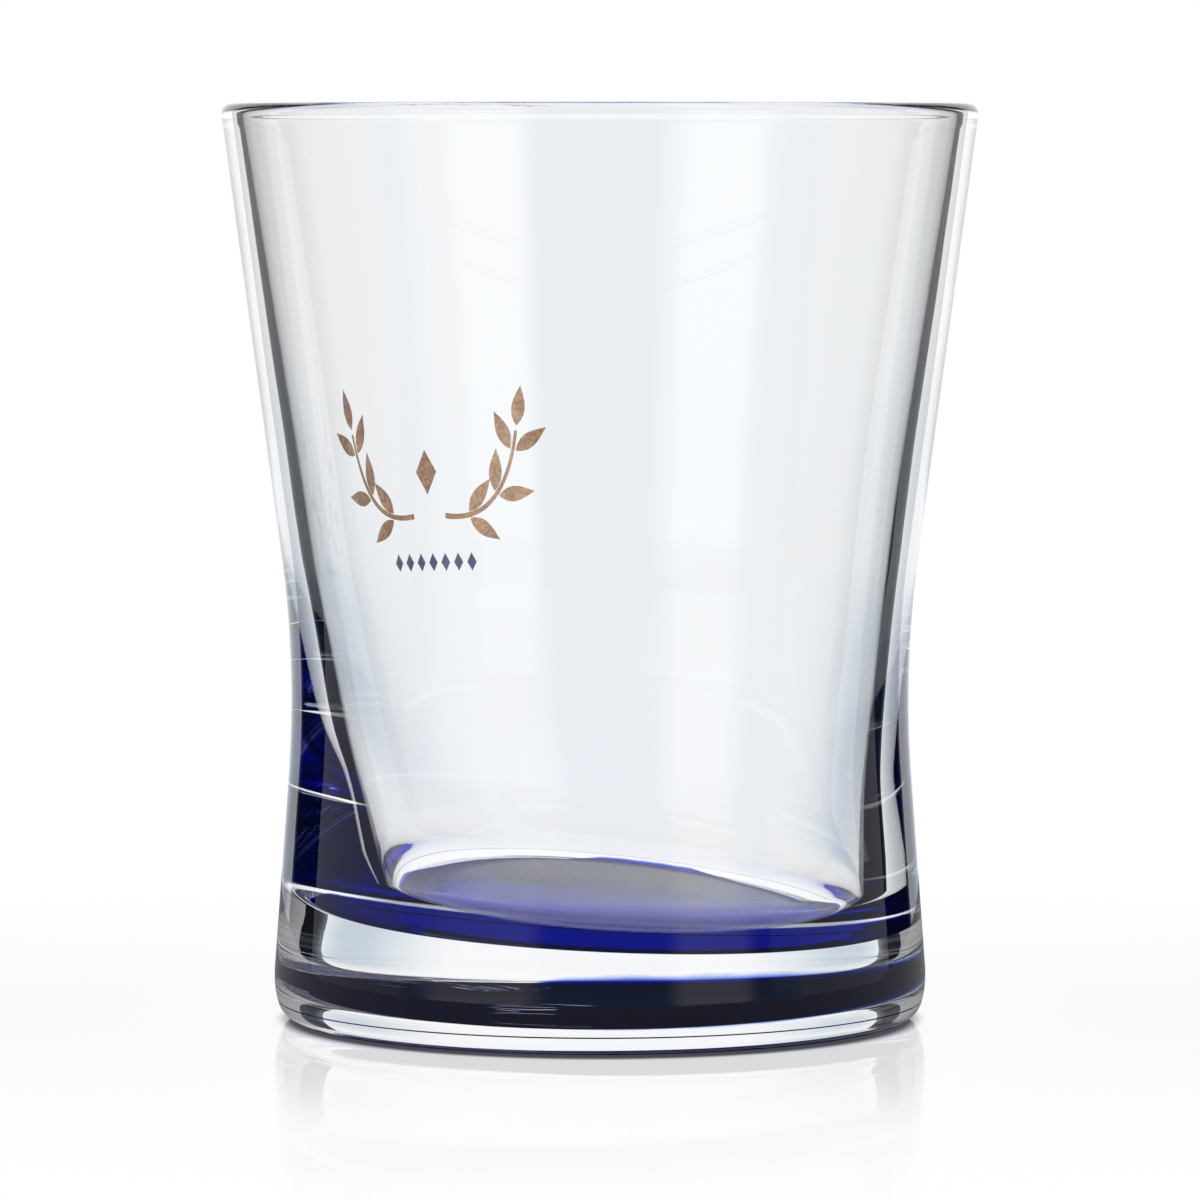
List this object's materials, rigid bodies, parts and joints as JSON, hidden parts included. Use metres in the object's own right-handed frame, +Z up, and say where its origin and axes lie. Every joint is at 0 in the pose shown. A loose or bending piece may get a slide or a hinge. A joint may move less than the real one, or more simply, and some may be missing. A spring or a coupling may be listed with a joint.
{
  "type": "tumbler glass",
  "caption": "Clear waisted rocks tumbler with a thick base, a blue translucent coat under the base and a gold and blue printed ornament on the wall; holds a short drink with ice.",
  "frame": {"origin": "middle of the standing ring, on the surface that the glass stands on", "axes": "+Z up along the glass's axis to its lip; the print is on the +Y side, turned 36.5 degrees towards -X; -Y faces the picture's camera"},
  "size_m": [0.08, 0.08, 0.097],
  "materials": {
    "glass": "fire-polished clear glass",
    "blue_coat": "translucent lacquer under the base, lightly brushed",
    "gold_ink": "metallic gold print, slightly speckled",
    "blue_ink": "matt blue print"
  },
  "bodies": {
    "root": {"glass_vessel": "glass", "base_coat": "blue_coat", "left_stem": "gold_ink", "left_outer_leaf_1": "gold_ink", "left_inner_leaf_1": "gold_ink", "left_outer_leaf_2": "gold_ink", "left_inner_leaf_2": "gold_ink", "left_outer_leaf_3": "gold_ink", "left_inner_leaf_3": "gold_ink", "left_end_leaf": "gold_ink", "right_stem": "gold_ink", "right_outer_leaf_1": "gold_ink", "right_inner_leaf_1": "gold_ink", "right_outer_leaf_2": "gold_ink", "right_inner_leaf_2": "gold_ink", "right_outer_leaf_3": "gold_ink", "right_inner_leaf_3": "gold_ink", "right_end_leaf": "gold_ink", "sprig_diamond": "gold_ink", "lozenge_1": "blue_ink", "lozenge_2": "blue_ink", "lozenge_3": "blue_ink", "lozenge_4": "blue_ink", "lozenge_5": "blue_ink", "lozenge_6": "blue_ink", "lozenge_7": "blue_ink"}
  },
  "joints": []
}
